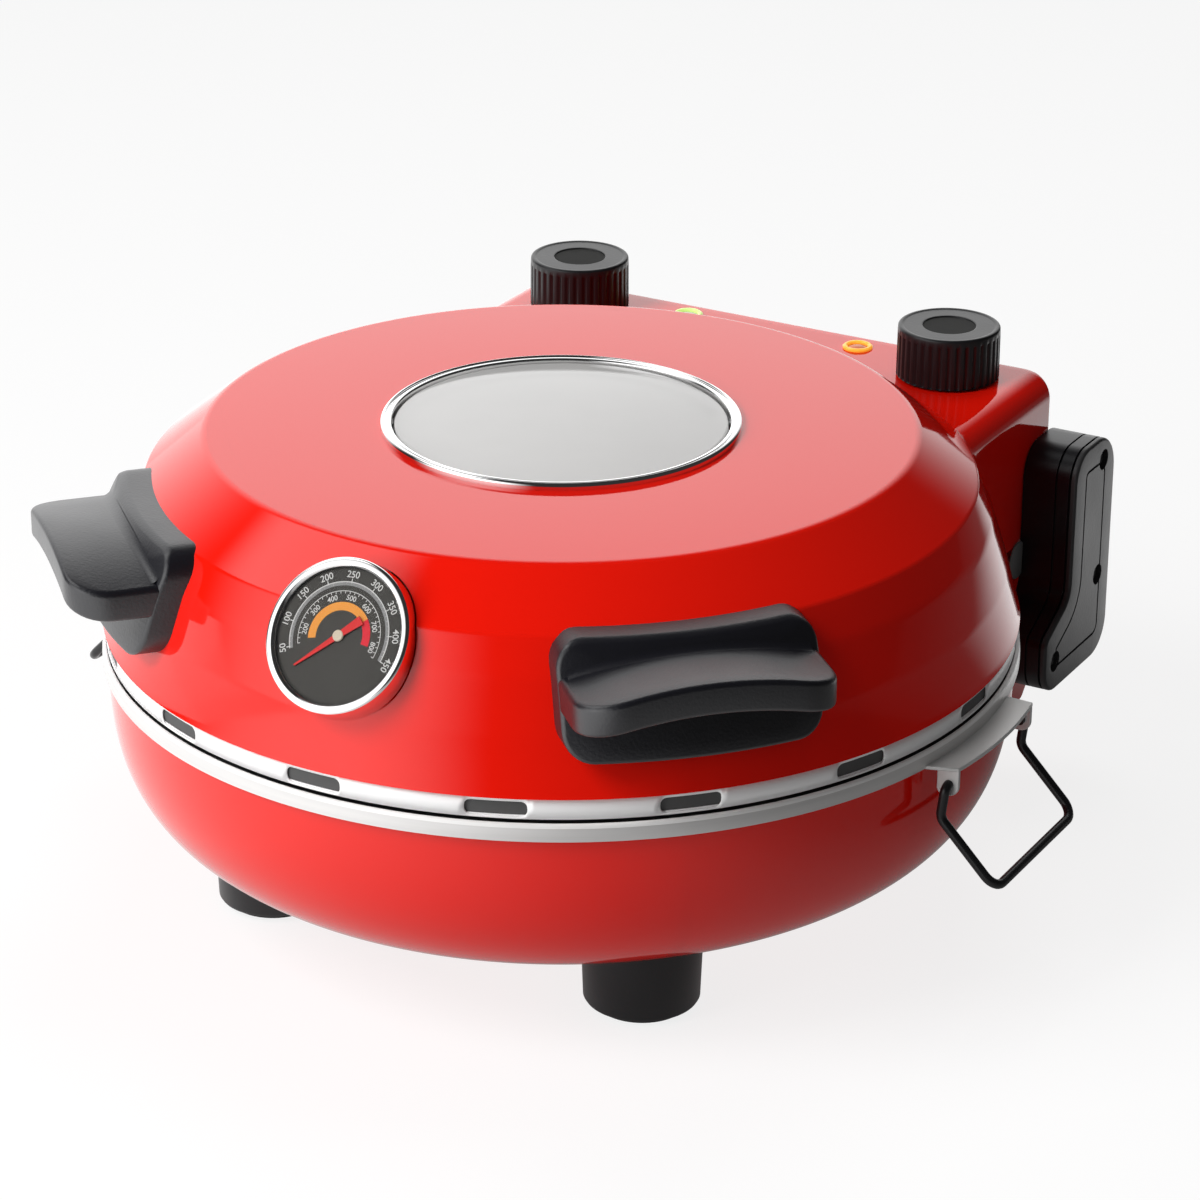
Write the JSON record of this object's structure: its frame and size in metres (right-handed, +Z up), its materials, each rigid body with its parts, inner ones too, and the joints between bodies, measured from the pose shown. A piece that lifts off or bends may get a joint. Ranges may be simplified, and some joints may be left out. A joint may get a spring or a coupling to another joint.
{
  "type": "countertop pizza oven",
  "caption": "Round clamshell pizza oven with a domed hinged lid, window, dial thermometer, grips, control knobs and wire side handles.",
  "frame": {"origin": "middle of the footprint, on the plane the feet stand on", "axes": "+X to the right seen from the front, +Y to the back where the hinge is, +Z up"},
  "size_m": [0.3918, 0.3651, 0.1835],
  "materials": {
    "red_enamel": "gloss red enamel",
    "rim_steel": "satin steel",
    "band_steel": "satin steel",
    "liner_steel": "bright coated sheet",
    "element_tube": "dark oxidised tube",
    "fitting_steel": "plain zinc",
    "stone": "rough fired ceramic",
    "foot_black": "matt black",
    "pad_rubber": "soft rubber",
    "arm_black": "satin black",
    "cover_grey": "fine-grained charcoal",
    "dark_sheet": "black painted sheet",
    "grip_charcoal": "fine-grained charcoal",
    "knob_black": "matt black",
    "chrome": "polished",
    "window_glass": "lightly tinted",
    "clear_glass": "clear",
    "dial_face": "printed dark grey",
    "needle_red": "red paint",
    "lamp_green": "lit translucent green",
    "lamp_orange": "lit translucent orange",
    "bracket_steel": "matt grey sheet",
    "wire_black": "black coated wire",
    "ceramic_white": "ivory",
    "switch_body": "moulded"
  },
  "bodies": {
    "base": {"base_bowl": "red_enamel", "base_rim": "rim_steel", "lower_liner": "liner_steel", "lower_element": "element_tube", "lower_element_clips": "fitting_steel", "pizza_stone": "stone", "bottom_cover": "dark_sheet", "foot_front_left": "foot_black", "foot_front_right": "foot_black", "foot_rear_left": "foot_black", "foot_rear_right": "foot_black", "foot_pads": "pad_rubber", "foot_screws": "fitting_steel", "base_block": "red_enamel", "rear_cover": "dark_sheet", "rear_cover_screws": "fitting_steel", "cord_gland": "arm_black", "terminal_block": "ceramic_white", "arm_left": "arm_black", "arm_right": "arm_black", "arm_cover_left": "cover_grey", "arm_cover_right": "cover_grey", "arm_cover_screws": "dark_sheet", "arm_anchor_bolts": "fitting_steel", "hinge_shaft": "fitting_steel", "side_bracket_left": "bracket_steel", "side_bracket_right": "bracket_steel", "lid_bumpers": "pad_rubber"},
    "lid": {"lid_shell": "red_enamel", "lid_band": "band_steel", "upper_liner": "liner_steel", "upper_element": "element_tube", "upper_element_clips": "fitting_steel", "window_ring": "chrome", "window_glass": "window_glass", "window_clamp": "fitting_steel", "window_collar": "liner_steel", "control_housing": "red_enamel", "hinge_leaf": "fitting_steel", "leaf_screws": "fitting_steel", "thermostat_left": "switch_body", "thermostat_right": "switch_body", "lamp_green": "lamp_green", "lamp_orange": "lamp_orange", "lamp_sockets": "switch_body", "gauge_case": "chrome", "gauge_dial": "dial_face", "gauge_glass": "clear_glass", "gauge_probe": "fitting_steel", "grip_left": "grip_charcoal", "grip_right": "grip_charcoal", "grip_screws": "fitting_steel"},
    "knob_left": {"knob_left": "knob_black", "knob_shaft_left": "fitting_steel"},
    "knob_right": {"knob_right": "knob_black", "knob_shaft_right": "fitting_steel"},
    "needle": {"gauge_needle": "needle_red"},
    "bail_left": {"bail_left": "wire_black"},
    "bail_right": {"bail_right": "wire_black"}
  },
  "joints": [
    {"name": "lid_hinge", "type": "hinge", "parent": "base", "child": "lid", "pos_m": [0, 0.1723, 0.098], "axis": [-1, 0, 0], "range_deg": [0, 95]},
    {"name": "knob_left_turn", "type": "hinge", "parent": "lid", "child": "knob_left", "pos_m": [-0.082, 0.1475, 0.17], "axis": [0, 0, -1], "range_deg": [0, 270]},
    {"name": "knob_right_turn", "type": "hinge", "parent": "lid", "child": "knob_right", "pos_m": [0.082, 0.1475, 0.17], "axis": [0, 0, -1], "range_deg": [0, 270]},
    {"name": "needle_turn", "type": "hinge", "parent": "lid", "child": "needle", "pos_m": [0.0045, -0.1666, 0.1565], "axis": [0, 0.829, -0.5592], "range_deg": [0, 245]},
    {"name": "bail_left_swing", "type": "hinge", "parent": "base", "child": "bail_left", "pos_m": [-0.1735, -0.0095, 0.089], "axis": [0, 1, 0], "range_deg": [0, 110]},
    {"name": "bail_right_swing", "type": "hinge", "parent": "base", "child": "bail_right", "pos_m": [0.1735, -0.0095, 0.089], "axis": [0, -1, 0], "range_deg": [0, 110]}
  ]
}
